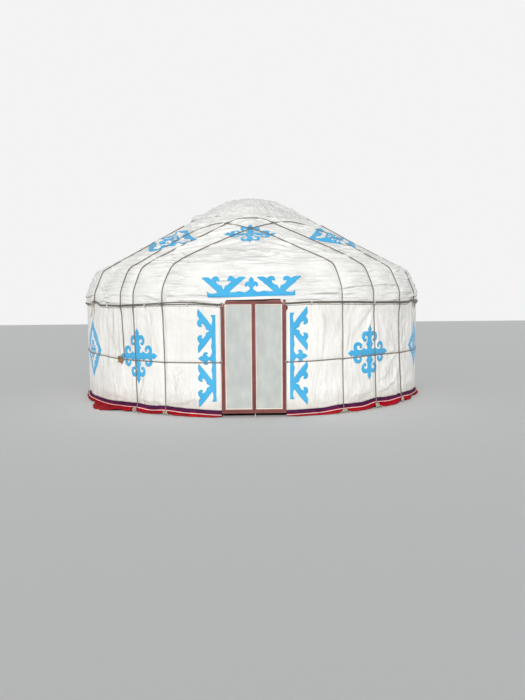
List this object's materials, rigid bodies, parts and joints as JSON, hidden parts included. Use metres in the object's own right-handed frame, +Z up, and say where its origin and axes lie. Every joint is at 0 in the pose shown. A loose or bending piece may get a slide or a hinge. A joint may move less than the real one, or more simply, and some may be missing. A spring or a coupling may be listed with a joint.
{
  "type": "yurt",
  "caption": "Round yurt with a lattice wall, bent roof poles, crown, canvas covers tied with ropes, a flared skirt and a hinged double door.",
  "frame": {"origin": "on the ground at the middle of the round wall", "axes": "+Z up, -Y out through the door, +X to the right of someone who faces the door from outside"},
  "size_m": [6.613, 6.5945, 3.8183],
  "materials": {
    "bare_wood": "planed birch and willow, oiled",
    "bolt_steel": "dull zinc-plated steel",
    "door_paint": "red-brown gloss paint, weathered",
    "door_panel": "pale grey painted sheet",
    "hinge_steel": "barrel hinges painted with the door",
    "panel_bead": "cream painted bead",
    "red_cloth": "red cloth skirt with purple band and white piping",
    "rope": "grey-brown laid rope",
    "white_canvas": "white cotton canvas over felt, sun-bleached"
  },
  "bodies": {
    "tent": {"belt_rope": "rope", "crown_cover": "white_canvas", "crown_ribs": "bare_wood", "crown_ring": "bare_wood", "door_header": "door_paint", "door_jamb_left": "door_paint", "door_jamb_right": "door_paint", "door_lintel": "bare_wood", "door_sill": "door_paint", "door_staples": "bolt_steel", "eave_rope": "rope", "lattice_1": "bare_wood", "lattice_2": "bare_wood", "lattice_3": "bare_wood", "lattice_4": "bare_wood", "lattice_5": "bare_wood", "lattice_6": "bare_wood", "lattice_7": "bare_wood", "lattice_8": "bare_wood", "left_jamb_hinges": "hinge_steel", "right_jamb_hinges": "hinge_steel", "roof_cover_front": "white_canvas", "roof_cover_left": "white_canvas", "roof_cover_right": "white_canvas", "roof_poles_front": "bare_wood", "roof_poles_left": "bare_wood", "roof_poles_right": "bare_wood", "roof_ropes_back": "rope", "roof_ropes_front": "rope", "skirt_back_left": "red_cloth", "skirt_back_right": "red_cloth", "skirt_front_left": "red_cloth", "skirt_front_right": "red_cloth", "wall_cover_back_left": "white_canvas", "wall_cover_back_right": "white_canvas", "wall_cover_front_left": "white_canvas", "wall_cover_front_right": "white_canvas", "wall_ropes": "rope"},
    "left_leaf": {"left_leaf_beads": "panel_bead", "left_leaf_frame": "door_paint", "left_leaf_hinges": "hinge_steel", "left_leaf_panel": "door_panel"},
    "right_leaf": {"right_leaf_beads": "panel_bead", "right_leaf_bolts": "bolt_steel", "right_leaf_frame": "door_paint", "right_leaf_hinges": "hinge_steel", "right_leaf_panel": "door_panel"}
  },
  "joints": [
    {"name": "left_leaf_hinge", "type": "hinge", "parent": "tent", "child": "left_leaf", "pos_m": [-0.44598, -3.25, 0.33], "axis": [0, 0, -1], "range_deg": [0, 105]},
    {"name": "right_leaf_hinge", "type": "hinge", "parent": "tent", "child": "right_leaf", "pos_m": [0.44598, -3.25, 0.33], "axis": [0, 0, 1], "range_deg": [0, 105]}
  ]
}
